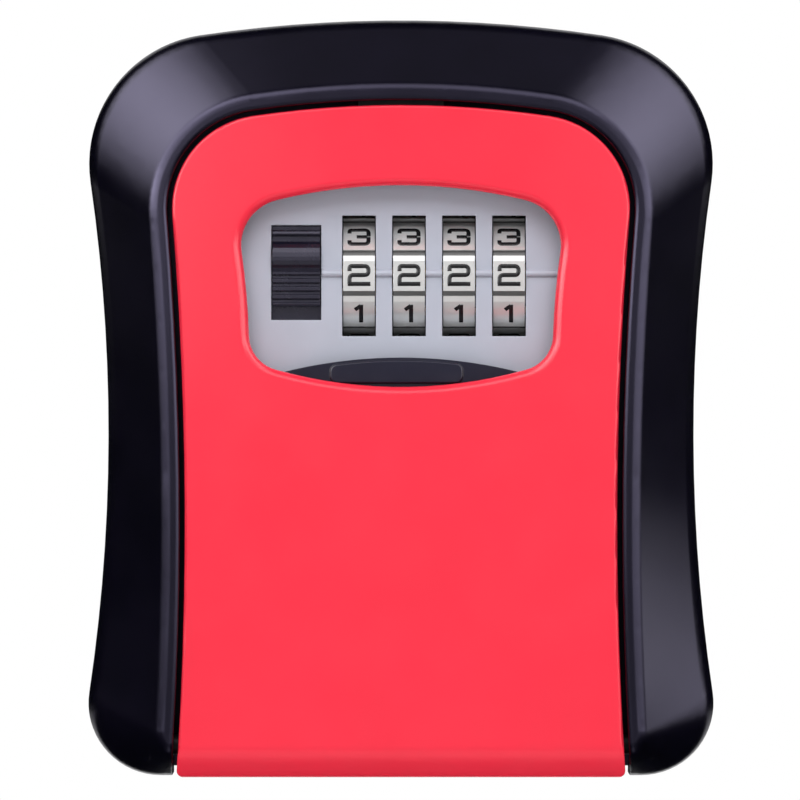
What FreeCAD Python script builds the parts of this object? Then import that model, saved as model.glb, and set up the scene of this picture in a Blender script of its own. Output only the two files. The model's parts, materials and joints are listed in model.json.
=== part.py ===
import FreeCAD, Part
import Sketcher
import os
import re
from math import cos, pi, radians, sin, sqrt

# Wall-mounted key lock box. X to the right, Z up, the wall is the plane y = 0 and the front
# faces -Y, so "depth" below always means the distance from the wall, towards the front.
# The origin is the middle of the back face and of its four screw holes.

Vector = FreeCAD.Vector
doc = FreeCAD.newDocument("KeyLockBox")

# ---------------------------------------------------------------- driving dimensions (mm)
SIZES = {
    # body outline, seen from the front
    "body_top": 57.5, "body_bottom": -57.3, "body_top_radius": 208.75, "body_corner_radius": 19.8,
    "body_waist": 44.5, "body_waist_height": -5.3, "body_side_radius": 267.3,
    "body_foot_radius": 11.0, "body_depth": 40.0, "side_depth": 27.6,
    # line where the sloping rim starts to roll over into the front land
    "crease_top": 48.1, "crease_bottom": -54.6, "crease_top_radius": 157.3,
    "crease_corner_radius": 17.85, "crease_waist": 36.4, "crease_waist_height": -18.8,
    "crease_side_radius": 566.4, "crease_foot_radius": 4.0,
    "wall": 2.6, "back_wall": 2.5, "lip_depth": 36.2,
    # sloping rim: rounded off the side wall, flat, then rounded over into the land
    "slope_tilt": 46.0, "side_round": 5.0, "side_round_share": 0.149, "crease_round": 2.0,
    "opening_round": 0.6, "cut_bottom": -62.0,
    "mount_spacing_across": 50.0, "mount_spacing_up": 70.0, "mount_hole_radius": 2.25,
    "mount_boss_radius": 5.0, "mount_boss_height": 1.0,
    "strike_half": 9.0, "strike_low": 45.4, "strike_high": 49.8, "strike_back": 32.1,
    "lug_radius": 2.6, "lug_inner": 34.0, "lug_outer": 38.0, "underside_half": 34.82,
    "floor_top": -53.3,
    "floor_under": -55.8, "floor_front": 28.8,
    # door
    "door_top": 44.48, "door_bottom": -57.5, "door_top_radius": 153.6, "door_corner_radius": 14.2,
    "door_waist": 32.77, "door_waist_height": -18.8, "door_side_radius": 570.0,
    "door_foot_radius": 1.0, "door_gap": 0.75, "door_front": 39.3, "door_skin": 2.5,
    "door_back": 29.3, "door_skirt": 2.0, "door_edge_round": 0.4,
    "hinge_depth": 34.3, "hinge_height": -52.5, "barrel_radius": 5.0, "barrel_hollow": 3.0,
    "barrel_end": 27.0, "barrel_boss_end": 32.5, "pin_radius": 1.5, "pin_clearance": 0.06,
    "pin_inner": 28.5, "pin_outer": 37.2,
    "post_across": 28.4, "post_high": 29.0, "post_low": -5.0, "post_radius": 2.2,
    "screw_radius": 1.2, "screw_end": 37.2, "screw_head_radius": 2.0, "screw_head": 1.4,
    # dial window in the door
    "window_top": 32.3, "window_bottom": 1.75, "window_top_radius": 79.8,
    "window_corner_radius": 7.03, "window_waist": 22.99, "window_waist_height": 6.49,
    "window_side_radius": 107.98, "window_foot_radius": 5.46, "window_bottom_radius": 69.89,
    "window_bevel": 1.3,
    # sliding shutter and its track
    "shutter_back": 35.45, "shutter_front": 36.25, "shutter_half": 24.9, "shutter_low": -26.5,
    "shutter_top": 6.2, "shutter_top_radius": 74.0, "grip_left": -10.8, "grip_right": 9.4,
    "grip_low": 2.3, "grip_inset": 0.4, "grip_front": 36.7, "grip_round": 1.1,
    "grip_edge": 0.25,
    "track_inner": 25.1, "track_outer": 26.0, "track_low": -28.5, "track_high": 36.0,
    "track_lip": 24.3, "track_back": 34.4, "track_lip_front": 35.2, "track_stop": -26.8,
    # face plate
    "plate_front": 34.2, "plate_back": 32.7, "plate_half": 30.5, "plate_low": -8.5,
    "plate_high": 34.0, "plate_corner": 3.0, "slot_width": 5.1, "slot_half_height": 9.15,
    "ridge_height": 19.0, "ridge_radius": 0.55, "ridge_left": -12.0, "ridge_right": 24.2,
    "slider_slot_left": -19.7, "slider_slot_right": -12.1, "slider_slot_low": 11.9,
    "slider_slot_high": 26.3,
    # number wheels, cams and shaft
    "wheel_first": -6.37, "wheel_pitch": 7.59, "wheel_width": 4.8, "wheel_radius": 10.17,
    "wheel_depth": 24.9, "wheel_height": 18.6, "wheel_bore": 3.05, "wheel_recess": 0.8,
    "wheel_recess_radius": 7.9, "facet_half": 15.4, "groove_radius": 9.5, "wheel_turn": 2.3,
    "facet_crown": 0.1, "facet_chamfer": 0.85, "facet_drop": 0.23,
    "socket_radius": 0.9, "socket_depth": 1.6, "socket_circle": 5.2,
    "hub_radius": 3.0, "cam_radius": 7.5, "cam_thickness": 1.0,
    "cam_gap": 0.4, "cam_bore": 2.06, "cam_spacing": 0.1, "gate_half": 0.9, "gate_floor": 3.4,
    "peg_radius": 0.7, "peg_length": 1.3, "shaft_radius": 2.0, "shaft_left": -16.2,
    "shaft_right": 26.6, "collar_right": -15.0, "collar_radius": 3.4,
    # latch and thumb slide
    "latch_front": 31.6, "latch_back": 30.1, "latch_left": -22.5, "latch_right": 25.6,
    "latch_low": 5.0,
    "latch_high": 37.0, "latch_opening_left": -9.6, "latch_opening_right": 22.0,
    "latch_opening_low": 9.4, "latch_opening_high": 34.0, "tongue_half": 6.5,
    "tongue_high": 46.7, "tongue_bevel": 0.9, "shelf_low": 34.6, "shelf_thickness": 1.4,
    "shelf_back": 24.2, "finger_width": 1.4, "finger_low": 26.6, "slide_left": -19.5,
    "slide_right": -12.3, "slide_low": 14.0, "slide_high": 26.1,
    "slide_base_front": 32.5, "slide_base_left": -21.0, "slide_base_right": -10.8,
    "slide_base_low": 8.6, "slide_base_high": 31.0, "slide_screw_height": 20.0,
    # chassis, cover, lever and springs
    "chassis_front": 28.4, "chassis_back": 26.9, "chassis_half": 30.5, "chassis_low": -8.0,
    "chassis_high": 32.5, "cheek_left": -12.0, "cheek_left_inner": -10.2,
    "cheek_right_inner": 22.0, "cheek_right": 23.6, "cheek_low": 5.3, "cheek_high": 29.5,
    "cheek_back": 18.0, "cradle_floor": 6.9, "cradle_back": 14.2, "rail_gap": 0.3,
    "rail_width": 1.5, "rail_low": 6.0, "rail_high": 25.0,
    "relief_left": -17.6, "relief_right": 28.4, "relief_low": 14.6, "relief_high": 22.6,
    "ledge_inner": 16.2,
    "ledge_outer": 20.8, "ledge_low": -1.7, "ledge_high": -0.2, "inner_front": 32.4,
    "cover_flange": 25.7, "cover_left": -18.4, "cover_right": 25.2, "cover_low": 2.6,
    "bulge_right": 30.0, "bulge_low": 13.5, "bulge_high": 24.0,
    "cover_high": 38.2, "cover_back": 11.8, "cover_wall": 1.2,
    "lever_left": 24.2, "lever_right": 26.2, "lever_half": 2.9, "lever_back": 9.8,
    "tab_left": 23.9, "tab_right": 26.5, "tab_front": 11.2,
    "reset_travel": 1.5, "spring_across": 18.5, "latch_spring_radius": 1.3, "spring_wire": 0.4,
    "detent_width": 4.0, "detent_front": 14.2, "detent_back": 13.9, "detent_high": 22.0,
    "detent_bump": 0.3, "reset_spring_radius": 2.6,
}
WHEELS = 4
DIGITS = 10

sheet = doc.addObject("Spreadsheet::Sheet", "Sizes")
for row, (alias, size) in enumerate(SIZES.items(), start=1):
    sheet.set("A%d" % row, alias)
    sheet.set("B%d" % row, str(size))
    sheet.setAlias("B%d" % row, alias)
doc.recompute()

parts = {}


# ---------------------------------------------------------------- helpers
def bound(text):
    """An expression on the sheet, from text that uses the plain names of its cells."""
    return re.sub(r"[a-z_]+", lambda m: "Sizes." + m[0] if m[0] in SIZES else m[0], str(text))


def number(text):
    """The present value of such an expression."""
    found = sheet.evalExpression(bound(text).replace("Sizes.", ""))
    return float(getattr(found, "Value", found))


def body_named(name):
    """A new body for the sub-part of that name."""
    body = doc.addObject("PartDesign::Body", name)
    body.Label = name
    parts[name] = body
    return body


def sketch_on(body, name, role, offset):
    """An empty sketch parallel to one of the body's own origin planes."""
    sketch = body.newObject("Sketcher::SketchObject", name)
    plane = next(f for f in body.Origin.OriginFeatures if f.Role == role)
    sketch.AttachmentSupport = [(plane, "")]
    sketch.MapMode = "FlatFace"
    sketch.setExpression("AttachmentOffset.Base.z", bound(offset))
    return sketch


def constrain(sketch, kind, *args):
    """Adds a constraint; a text as its last value binds it to the sheet."""
    if isinstance(args[-1], str):
        index = sketch.addConstraint(Sketcher.Constraint(kind, *args[:-1], number(args[-1])))
        sketch.setExpression("Constraints[%d]" % index, bound(args[-1]))
    else:
        sketch.addConstraint(Sketcher.Constraint(kind, *args))


def rectangle(left, right, low, high):
    """A rectangle whose four sides are held to the sheet."""

    def draw(sketch):
        x0, x1, y0, y1 = number(left), number(right), number(low), number(high)
        corners = [Vector(x0, y0), Vector(x1, y0), Vector(x1, y1), Vector(x0, y1)]
        first = sketch.GeometryCount
        for i in range(4):
            sketch.addGeometry(Part.LineSegment(corners[i], corners[(i + 1) % 4]), False)
        for i in range(4):
            constrain(sketch, "Coincident", first + i, 2, first + (i + 1) % 4, 1)
        for i, kind in enumerate(("Horizontal", "Vertical", "Horizontal", "Vertical")):
            constrain(sketch, kind, first + i)
        constrain(sketch, "DistanceX", -1, 1, first, 1, str(left))
        constrain(sketch, "DistanceX", -1, 1, first + 1, 1, str(right))
        constrain(sketch, "DistanceY", -1, 1, first, 1, str(low))
        constrain(sketch, "DistanceY", -1, 1, first + 2, 1, str(high))

    return draw


def circle(across, up, radius):
    """A circle whose centre and radius are held to the sheet."""

    def draw(sketch):
        centre = Vector(number(across), number(up))
        index = sketch.addGeometry(Part.Circle(centre, Vector(0, 0, 1), number(radius)), False)
        constrain(sketch, "DistanceX", -1, 1, index, 3, str(across))
        constrain(sketch, "DistanceY", -1, 1, index, 3, str(up))
        constrain(sketch, "Radius", index, str(radius))

    return draw


def solid_step(body, kind, name, role, offset, length, *shapes):
    """Pads or pockets the shapes drawn on one sketch.

    On XZ_Plane the offset is a depth: a Pad grows from it towards the front, and a Pocket
    cuts from it back towards the wall.
    """
    before = body.Shape.Volume if body.Tip else 0.0
    sketch = sketch_on(body, name + "_sketch", role, offset)
    for draw in shapes:
        draw(sketch)
    step = body.newObject("PartDesign::" + kind, name)
    step.Profile = sketch
    step.setExpression("Length", bound(length))
    doc.recompute()
    change = body.Shape.Volume - before
    if (kind == "Pad") != (change > 0) or abs(change) < 1e-6:
        raise RuntimeError("%s of %s changes the volume by %.4f" % (name, body.Label, change))
    return step


def pad(body, name, role, offset, length, *shapes):
    return solid_step(body, "Pad", name, role, offset, length, *shapes)


def pocket(body, name, role, offset, length, *shapes):
    return solid_step(body, "Pocket", name, role, offset, length, *shapes)


def dress(body, kind, name, size, choose):
    """Fillets or chamfers the edges of the body that choose() picks."""
    tip = body.Tip
    edges = ["Edge%d" % (i + 1) for i, edge in enumerate(tip.Shape.Edges) if choose(edge)]
    if not edges:
        raise RuntimeError("no edge for %s of %s" % (name, body.Label))
    step = body.newObject("PartDesign::" + kind, name)
    step.Base = (tip, edges)
    step.setExpression("Radius" if kind == "Fillet" else "Size", bound(size))
    doc.recompute()
    return step


def edge_within(edge, low, high):
    """True if the edge's box lies inside the box from low to high."""
    box = edge.BoundBox
    slack = 1e-3
    inside = box.XMin >= low[0] - slack and box.XMax <= high[0] + slack
    inside = inside and box.YMin >= low[1] - slack and box.YMax <= high[1] + slack
    return inside and box.ZMin >= low[2] - slack and box.ZMax <= high[2] + slack


# ---------------------------------------------------------------- curved outlines
def crossing(centre_a, radius_a, centre_b, radius_b, up):
    """Where two circles cross: the higher crossing if up is 1, the lower if it is -1."""
    gap = centre_b - centre_a
    along = (radius_a**2 - radius_b**2 + gap.Length**2) / (2 * gap.Length)
    off = sqrt(radius_a**2 - along**2)
    unit = gap.normalize()
    side = Vector(-unit.y, unit.x)
    ends = [centre_a + unit * along + side * off, centre_a + unit * along - side * off]
    return max(ends, key=lambda p: up * p.y)


def towards(centre, other, radius):
    return centre + (other - centre).normalize() * radius


def outline(prefix, inset=0.0, **changes):
    """The eight-edged outline of body, crease, door or window, moved inwards by inset.

    A shallow arc on top, two round corners, two hollow sides, two feet and a bottom that is
    straight or a shallow arc. Returns its arcs and lines in sketch coordinates.
    """
    keys = ("top", "top_radius", "corner_radius", "waist", "waist_height", "side_radius",
            "foot_radius", "bottom")
    shape = {key: SIZES[prefix + "_" + key] for key in keys}
    shape["bottom_radius"] = SIZES.get(prefix + "_bottom_radius")
    shape.update(changes)
    return outline_edges(shape, inset)


def outline_edges(shape, inset=0.0):
    """The edges of an outline, from the numbers that describe it."""
    top_centre = Vector(0, shape["top"] - shape["top_radius"])
    side_centre = Vector(shape["waist"] + shape["side_radius"], shape["waist_height"])
    corner = crossing(top_centre, shape["top_radius"] - shape["corner_radius"],
                      side_centre, shape["side_radius"] + shape["corner_radius"], 1)
    reach = shape["side_radius"] + shape["foot_radius"]
    if shape.get("bottom_radius"):
        low_centre = Vector(0, shape["bottom"] + shape["bottom_radius"])
        foot = crossing(low_centre, shape["bottom_radius"] - shape["foot_radius"],
                        side_centre, reach, -1)
        foot_low = low_centre + (foot - low_centre).normalize() * (shape["bottom_radius"] - inset)
    else:
        foot_height = shape["bottom"] + shape["foot_radius"]
        drop = foot_height - side_centre.y
        foot = Vector(side_centre.x - sqrt(reach**2 - drop**2), foot_height)
        foot_low = Vector(foot.x, shape["bottom"] + inset)
    side_radius = shape["side_radius"] + inset
    top_join = towards(top_centre, corner, shape["top_radius"] - inset)
    side_top = towards(side_centre, corner, side_radius)
    side_low = towards(side_centre, foot, side_radius)

    def arc(start, centre, radius, end):
        middle = centre + ((start + end) * 0.5 - centre).normalize() * radius
        return Part.Arc(start, middle, end)

    def flipped(point):
        return Vector(-point.x, point.y)

    right = [
        (top_join, corner, shape["corner_radius"] - inset, side_top),
        (side_top, side_centre, side_radius, side_low),
        (side_low, foot, shape["foot_radius"] - inset, foot_low),
    ]
    edges = [Part.Arc(flipped(top_join), Vector(0, shape["top"] - inset), top_join)]
    edges += [arc(a, c, r, b) for a, c, r, b in right]
    if shape.get("bottom_radius"):
        edges.append(Part.Arc(foot_low, Vector(0, shape["bottom"] + inset), flipped(foot_low)))
    else:
        edges.append(Part.LineSegment(foot_low, flipped(foot_low)))
    edges += [arc(flipped(b), flipped(c), r, flipped(a)) for a, c, r, b in reversed(right)]
    return edges


def drawn(edges):
    """A shape for a sketch, from arcs and lines that join end to end."""

    def draw(sketch):
        sketch.addGeometry(edges, False)

    return draw


def rim_shape(share):
    """The outline that is this share of the way from the body's outline to the crease."""
    mixed = {}
    for key in ("top", "waist", "waist_height", "bottom", "corner_radius", "foot_radius"):
        low, high = SIZES["body_" + key], SIZES["crease_" + key]
        mixed[key] = low + (high - low) * share
    for key in ("top_radius", "side_radius"):
        low, high = SIZES["body_" + key], SIZES["crease_" + key]
        mixed[key] = 1 / (1 / low + (1 / high - 1 / low) * share)
    return outline_edges(mixed)


def rim_loft(body, name, sections, ruled=False):
    """A step of the rim: a loft through sections, each a pair of its depth and its outline."""
    drawings = []
    for i, (depth, edges) in enumerate(sections):
        drawing = sketch_on(body, "%s_%d" % (name, i), "XZ_Plane", depth)
        drawing.addGeometry(edges, False)
        drawings.append(drawing)
    loft = body.newObject("PartDesign::AdditiveLoft", name)
    loft.Profile = drawings[0]
    loft.Sections = drawings[1:]
    loft.Ruled = ruled
    doc.recompute()


# ---------------------------------------------------------------- housing
ROUND_STEPS = 4


def make_housing():
    """Black die-cast body: sloping rim, walls, back with screw holes, floor, lugs and strike."""
    body = body_named("housing")
    pad(body, "sides", "XZ_Plane", 0, "side_depth", drawn(outline("body")))

    tilt = radians(SIZES["slope_tilt"])
    tilts = [pi / 2 + (tilt - pi / 2) * i / ROUND_STEPS for i in range(ROUND_STEPS + 1)]
    share = SIZES["side_round_share"] / (1 - sin(tilt))
    round_off = [("side_depth + side_round * %.6f" % cos(t), rim_shape(share * (1 - sin(t))))
                 for t in tilts]
    tilts = [tilt * (1 - i / ROUND_STEPS) for i in range(ROUND_STEPS + 1)]
    reach = SIZES["crease_round"]
    round_over = [("body_depth - crease_round * %.6f" % (1 - cos(t)),
                   outline("crease", reach * (sin(tilt) - sin(t)))) for t in tilts]
    rim_loft(body, "rim_round", round_off)
    rim_loft(body, "rim_slope", [round_off[-1], round_over[0]], ruled=True)
    rim_loft(body, "rim_crease", round_over)

    # the hollow: straight walls, then a taper towards the lip around the door
    taper_start = "side_depth - 1"
    pocket(body, "hollow", "XZ_Plane", taper_start, taper_start + " - back_wall",
           drawn(outline("body", SIZES["wall"])))
    wide = sketch_on(body, "taper_wide", "XZ_Plane", taper_start)
    wide.addGeometry(outline("body", SIZES["wall"]), False)
    narrow = sketch_on(body, "taper_narrow", "XZ_Plane", "lip_depth")
    narrow.addGeometry(outline("crease", 0.6), False)
    taper = body.newObject("PartDesign::SubtractiveLoft", "taper")
    taper.Profile = wide
    taper.Sections = [narrow]
    taper.Ruled = True
    doc.recompute()

    # what stands inside: floor, hinge lugs, strike above the door and bosses on the back wall
    pad(body, "floor", "XZ_Plane", "back_wall", "floor_front - back_wall",
        rectangle("-lug_outer", "lug_outer", "floor_under", "floor_top"))
    for side, start in (("left", "-lug_outer"), ("right", "lug_inner")):
        pad(body, "lug_" + side, "YZ_Plane", start, "lug_outer - lug_inner",
            circle("-hinge_depth", "hinge_height", "lug_radius"))
    pad(body, "strike", "XZ_Plane", "strike_back", "lip_depth + 0.5 - strike_back",
        rectangle("-strike_half", "strike_half", "strike_low", "strike_high"))
    places = [("%s / 2 * %d" % ("mount_spacing_across", x), "%s / 2 * %d" % ("mount_spacing_up", z))
              for x in (-1, 1) for z in (-1, 1)]
    pad(body, "bosses", "XZ_Plane", "back_wall", "mount_boss_height",
        *[circle(x, z, "mount_boss_radius") for x, z in places])
    pocket(body, "screw_holes", "XZ_Plane", "back_wall + 2", "back_wall + 3",
           *[circle(x, z, "mount_hole_radius") for x, z in places])

    # what is cut away: the door opening, the room for the door's barrel, the underside, the pins
    pocket(body, "opening", "XZ_Plane", "body_depth + 1", "body_depth + 1 - floor_front",
           drawn(outline("door", -SIZES["door_gap"], bottom=SIZES["cut_bottom"])))
    pocket(body, "underside", "XZ_Plane", "floor_front + 1", "floor_front + 2",
           rectangle("-underside_half", "underside_half", "cut_bottom", "floor_under"))
    pocket(body, "pin_bores", "YZ_Plane", "pin_outer", "2 * pin_outer",
           circle("-hinge_depth", "hinge_height", "pin_radius"))

    front = -SIZES["body_depth"]
    half, top = SIZES["door_corner_radius"] + 22.0, SIZES["door_top"] + 1.0
    dress(body, "Fillet", "opening_fillet", "opening_round",
          lambda e: edge_within(e, (-half, front, -58), (half, front, top)))


# ---------------------------------------------------------------- door
def post_places():
    return [(x, z) for x in ("-post_across", "post_across") for z in ("post_low", "post_high")]


def make_door_panel():
    """Red die-cast door: skin, skirt, rolled hinge edge, dial window and four screw posts."""
    body = body_named("door_panel")
    pad(body, "blank", "XZ_Plane", "door_back", "door_front - door_back", drawn(outline("door")))
    front = -SIZES["door_front"]
    dress(body, "Fillet", "edge_round", "door_edge_round",
          lambda e: edge_within(e, (-40, front, -57.0), (40, front, 50)))
    pocket(body, "inside", "XZ_Plane", "door_front - door_skin",
           "door_front - door_skin - door_back + 1",
           drawn(outline("door", SIZES["door_skirt"], foot_radius=SIZES["door_skirt"] + 1,
                         bottom=SIZES["hinge_height"] - SIZES["door_skirt"])))

    # the bottom edge is a half-round barrel about the hinge axis
    y, z, r = -SIZES["hinge_depth"], SIZES["hinge_height"], SIZES["barrel_radius"]
    roll = [
        Part.Arc(Vector(y - r, z), Vector(y, z - r), Vector(y + r, z)),
        Part.LineSegment(Vector(y + r, z), Vector(y + r + 1, z)),
        Part.LineSegment(Vector(y + r + 1, z), Vector(y + r + 1, z - r - 1)),
        Part.LineSegment(Vector(y + r + 1, z - r - 1), Vector(y - r - 1, z - r - 1)),
        Part.LineSegment(Vector(y - r - 1, z - r - 1), Vector(y - r - 1, z)),
        Part.LineSegment(Vector(y - r - 1, z), Vector(y - r, z)),
    ]
    pocket(body, "roll", "YZ_Plane", "pin_outer", "2 * pin_outer", drawn(roll))
    pocket(body, "barrel_hollow", "YZ_Plane", "barrel_end", "2 * barrel_end",
           circle("-hinge_depth", "hinge_height", "barrel_hollow"))
    for side, start in (("left", "-barrel_boss_end"), ("right", "barrel_end")):
        pad(body, "barrel_boss_" + side, "YZ_Plane", start, "barrel_boss_end - barrel_end",
            circle("-hinge_depth", "hinge_height", "barrel_radius - 1"))
    for side, start in (("left", "1 - pin_inner"), ("right", "pin_outer")):
        pocket(body, "pin_bore_" + side, "YZ_Plane", start, "pin_outer - pin_inner + 1",
               circle("-hinge_depth", "hinge_height", "pin_radius + pin_clearance"))

    pocket(body, "window", "XZ_Plane", "door_front + 1", "door_skin + 1.5",
           drawn(outline("window")))
    dress(body, "Fillet", "window_round", "window_bevel",
          lambda e: edge_within(e, (-25, front, 0), (25, front, 33)))
    pad(body, "posts", "XZ_Plane", "plate_front", "door_front - 1 - plate_front",
        *[circle(x, z, "post_radius") for x, z in post_places()])
    pocket(body, "post_bores", "XZ_Plane", "screw_end + 0.4", "screw_end + 1 - plate_front",
           *[circle(x, z, "screw_radius") for x, z in post_places()])
    pocket(body, "tongue_slot", "XZ_Plane", "latch_front + 0.8", 5,
           rectangle("-tongue_half - 0.6", "tongue_half + 0.6", "door_top - 4", "door_top + 2"))


def make_hinge_pin(name, start):
    body = body_named(name)
    pad(body, "rod", "YZ_Plane", start, "pin_outer - pin_inner",
        circle("-hinge_depth", "hinge_height", "pin_radius"))
    dress(body, "Chamfer", "ends", 0.25, lambda e: True)


# ---------------------------------------------------------------- shutter and face plate
def arched(left, right, low, top, radius):
    """Edges of a rectangle whose upper side is an arc of that radius, highest over x = 0."""

    def rise(x):
        return top - radius + sqrt(radius**2 - x**2)

    peak = (left + right) / 2
    return [
        Part.Arc(Vector(left, rise(left)), Vector(peak, rise(peak)), Vector(right, rise(right))),
        Part.LineSegment(Vector(right, rise(right)), Vector(right, low)),
        Part.LineSegment(Vector(right, low), Vector(left, low)),
        Part.LineSegment(Vector(left, low), Vector(left, rise(left))),
    ]


def make_shutter():
    """Weather cover that slides up over the dials, with a raised thumb grip below its arched edge."""
    body = body_named("shutter")
    half, low, top = SIZES["shutter_half"], SIZES["shutter_low"], SIZES["shutter_top"]
    radius, inset = SIZES["shutter_top_radius"], SIZES["grip_inset"]
    pad(body, "leaf", "XZ_Plane", "shutter_back", "shutter_front - shutter_back",
        drawn(arched(-half, half, low, top, radius)))
    grip = arched(SIZES["grip_left"], SIZES["grip_right"], SIZES["grip_low"], top - inset,
                  radius - inset)
    pad(body, "grip", "XZ_Plane", "shutter_front", "grip_front - shutter_front", drawn(grip))
    front, back = -SIZES["grip_front"], -SIZES["shutter_front"]
    dress(body, "Fillet", "grip_corners", "grip_round",
          lambda e: edge_within(e, (-12, front, 2), (10, back, 6)) and e.BoundBox.YLength > 0.3)
    dress(body, "Fillet", "grip_edges", "grip_edge",
          lambda e: edge_within(e, (-12, front - 0.01, 2), (10, front + 0.01, 6)))


def make_shutter_track():
    """Two lipped rails and an end stop on the back of the door skin."""
    body = body_named("shutter_track")
    skin = "door_front - door_skin"
    pad(body, "rails", "XZ_Plane", "track_back", skin + " - track_back",
        rectangle("-track_outer", "-track_inner", "track_low", "track_high"),
        rectangle("track_inner", "track_outer", "track_low", "track_high"))
    pad(body, "stop", "XZ_Plane", "track_back", skin + " - track_back",
        rectangle("-track_inner", "track_inner", "track_low", "track_stop"))
    pad(body, "lips", "XZ_Plane", "track_back", "track_lip_front - track_back",
        rectangle("-track_inner", "-track_lip", "track_stop", "track_high"),
        rectangle("track_lip", "track_inner", "track_stop", "track_high"))


def make_face_plate():
    """Grey moulded plate behind the window, with the wheel slots and the index ridge."""
    body = body_named("face_plate")
    thickness = "plate_front - plate_back"
    pad(body, "plate", "XZ_Plane", "plate_back", thickness,
        rectangle("-plate_half", "plate_half", "plate_low", "plate_high"))
    dress(body, "Fillet", "corners", "plate_corner", lambda e: e.BoundBox.YLength > 1)
    pad(body, "ridge", "YZ_Plane", "ridge_left", "ridge_right - ridge_left",
        circle("-plate_front", "ridge_height", "ridge_radius"))
    slots = []
    for i in range(WHEELS):
        centre = "wheel_first + wheel_pitch * %d" % i
        slots.append(rectangle(centre + " - slot_width / 2", centre + " + slot_width / 2",
                               "wheel_height - slot_half_height",
                               "wheel_height + slot_half_height"))
    pocket(body, "wheel_slots", "XZ_Plane", "plate_front + 2", thickness + " + 3", *slots)
    pocket(body, "slider_slot", "XZ_Plane", "plate_front + 2", thickness + " + 3",
           rectangle("slider_slot_left", "slider_slot_right",
                     "slider_slot_low", "slider_slot_high"))
    pocket(body, "ears", "XZ_Plane", "plate_front + 2", thickness + " + 3",
           *[circle(x, z, "screw_radius + 0.1") for x, z in post_places()])


# ---------------------------------------------------------------- number wheels, cams, shaft
def place_on_shaft(body, index):
    """Puts a body that was built about its own X axis at a wheel's place."""
    body.setExpression("Placement.Base.x", bound("wheel_first + wheel_pitch * %d" % index))
    body.setExpression("Placement.Base.y", bound("-wheel_depth"))
    body.setExpression("Placement.Base.z", bound("wheel_height"))


def around(body, step):
    """Repeats a step ten times about the wheel's axis."""
    ring = body.newObject("PartDesign::PolarPattern", step.Name + "_ring")
    ring.Originals = [step]
    ring.Axis = (step.Profile[0], ["N_Axis"])
    ring.Angle = 360
    ring.Occurrences = DIGITS
    body.Tip = ring
    doc.recompute()


def facet_edges(middle):
    """One wheel facet and the groove before it; angles run from the facet's top to its foot.

    The facet is slightly crowned and has a chamfer along its top.
    """
    half = radians(SIZES["facet_half"])
    across, out = SIZES["wheel_radius"] * sin(half), SIZES["wheel_radius"] * cos(half)
    chamfer = SIZES["facet_chamfer"] - across

    def at(along, outwards):
        return Vector(outwards * cos(middle) - along * sin(middle),
                      outwards * sin(middle) + along * cos(middle))

    def on_groove(angle):
        return Vector(SIZES["groove_radius"] * cos(angle), SIZES["groove_radius"] * sin(angle))

    last_groove = on_groove(middle - 2 * pi / DIGITS + half)
    groove, top = on_groove(middle - half), at(-across, out - SIZES["facet_drop"])
    shoulder, foot = at(chamfer, out), at(across, out)
    return [
        Part.LineSegment(last_groove, groove),
        Part.LineSegment(groove, top),
        Part.LineSegment(top, shoulder),
        Part.Arc(shoulder, at((chamfer + across) / 2, out + SIZES["facet_crown"]), foot),
        Part.LineSegment(foot, on_groove(middle + half)),
    ]


def make_number_wheel(index):
    """Wheel with ten crowned facets, grooves between them and ten sockets for the cam's peg."""
    body = body_named("number_wheel_%d" % (index + 1))
    turn = radians(SIZES["wheel_turn"])
    sides = []
    for i in range(DIGITS):
        sides += facet_edges(pi + 2 * pi / DIGITS * i - turn)
    pad(body, "drum", "YZ_Plane", "-wheel_width / 2", "wheel_width", drawn(sides))
    pocket(body, "recess", "YZ_Plane", "wheel_recess - wheel_width / 2", "wheel_recess + 0.1",
           circle(0, 0, "wheel_recess_radius"))
    pocket(body, "bore", "YZ_Plane", "wheel_width", "2 * wheel_width", circle(0, 0, "wheel_bore"))
    socket = pocket(body, "socket", "YZ_Plane", "wheel_width / 2 + 0.1", "socket_depth + 0.1",
                    circle(0, "-socket_circle", "socket_radius"))
    around(body, socket)
    place_on_shaft(body, index)


def make_wheel_cam(index):
    """Code disc on a hub, with the gate for the latch's finger and the peg that drives it."""
    body = body_named("wheel_cam_%d" % (index + 1))
    disc = "wheel_width / 2 + cam_gap"
    hub_left = disc + " + cam_thickness + cam_spacing - wheel_pitch"
    pad(body, "disc", "YZ_Plane", disc, "cam_thickness", circle(0, 0, "cam_radius"))
    pad(body, "hub", "YZ_Plane", hub_left, "wheel_pitch - cam_thickness - cam_spacing",
        circle(0, 0, "hub_radius"))
    pad(body, "peg", "YZ_Plane", disc + " - peg_length", "peg_length",
        circle(0, "-socket_circle", "peg_radius"))
    pocket(body, "bore", "YZ_Plane", "wheel_pitch", "2 * wheel_pitch", circle(0, 0, "cam_bore"))
    pocket(body, "gate", "YZ_Plane", disc + " + cam_thickness + 0.1", "cam_thickness + 0.1",
           rectangle("-gate_half", "gate_half", "gate_floor", "cam_radius + 1"))
    place_on_shaft(body, index)


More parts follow.
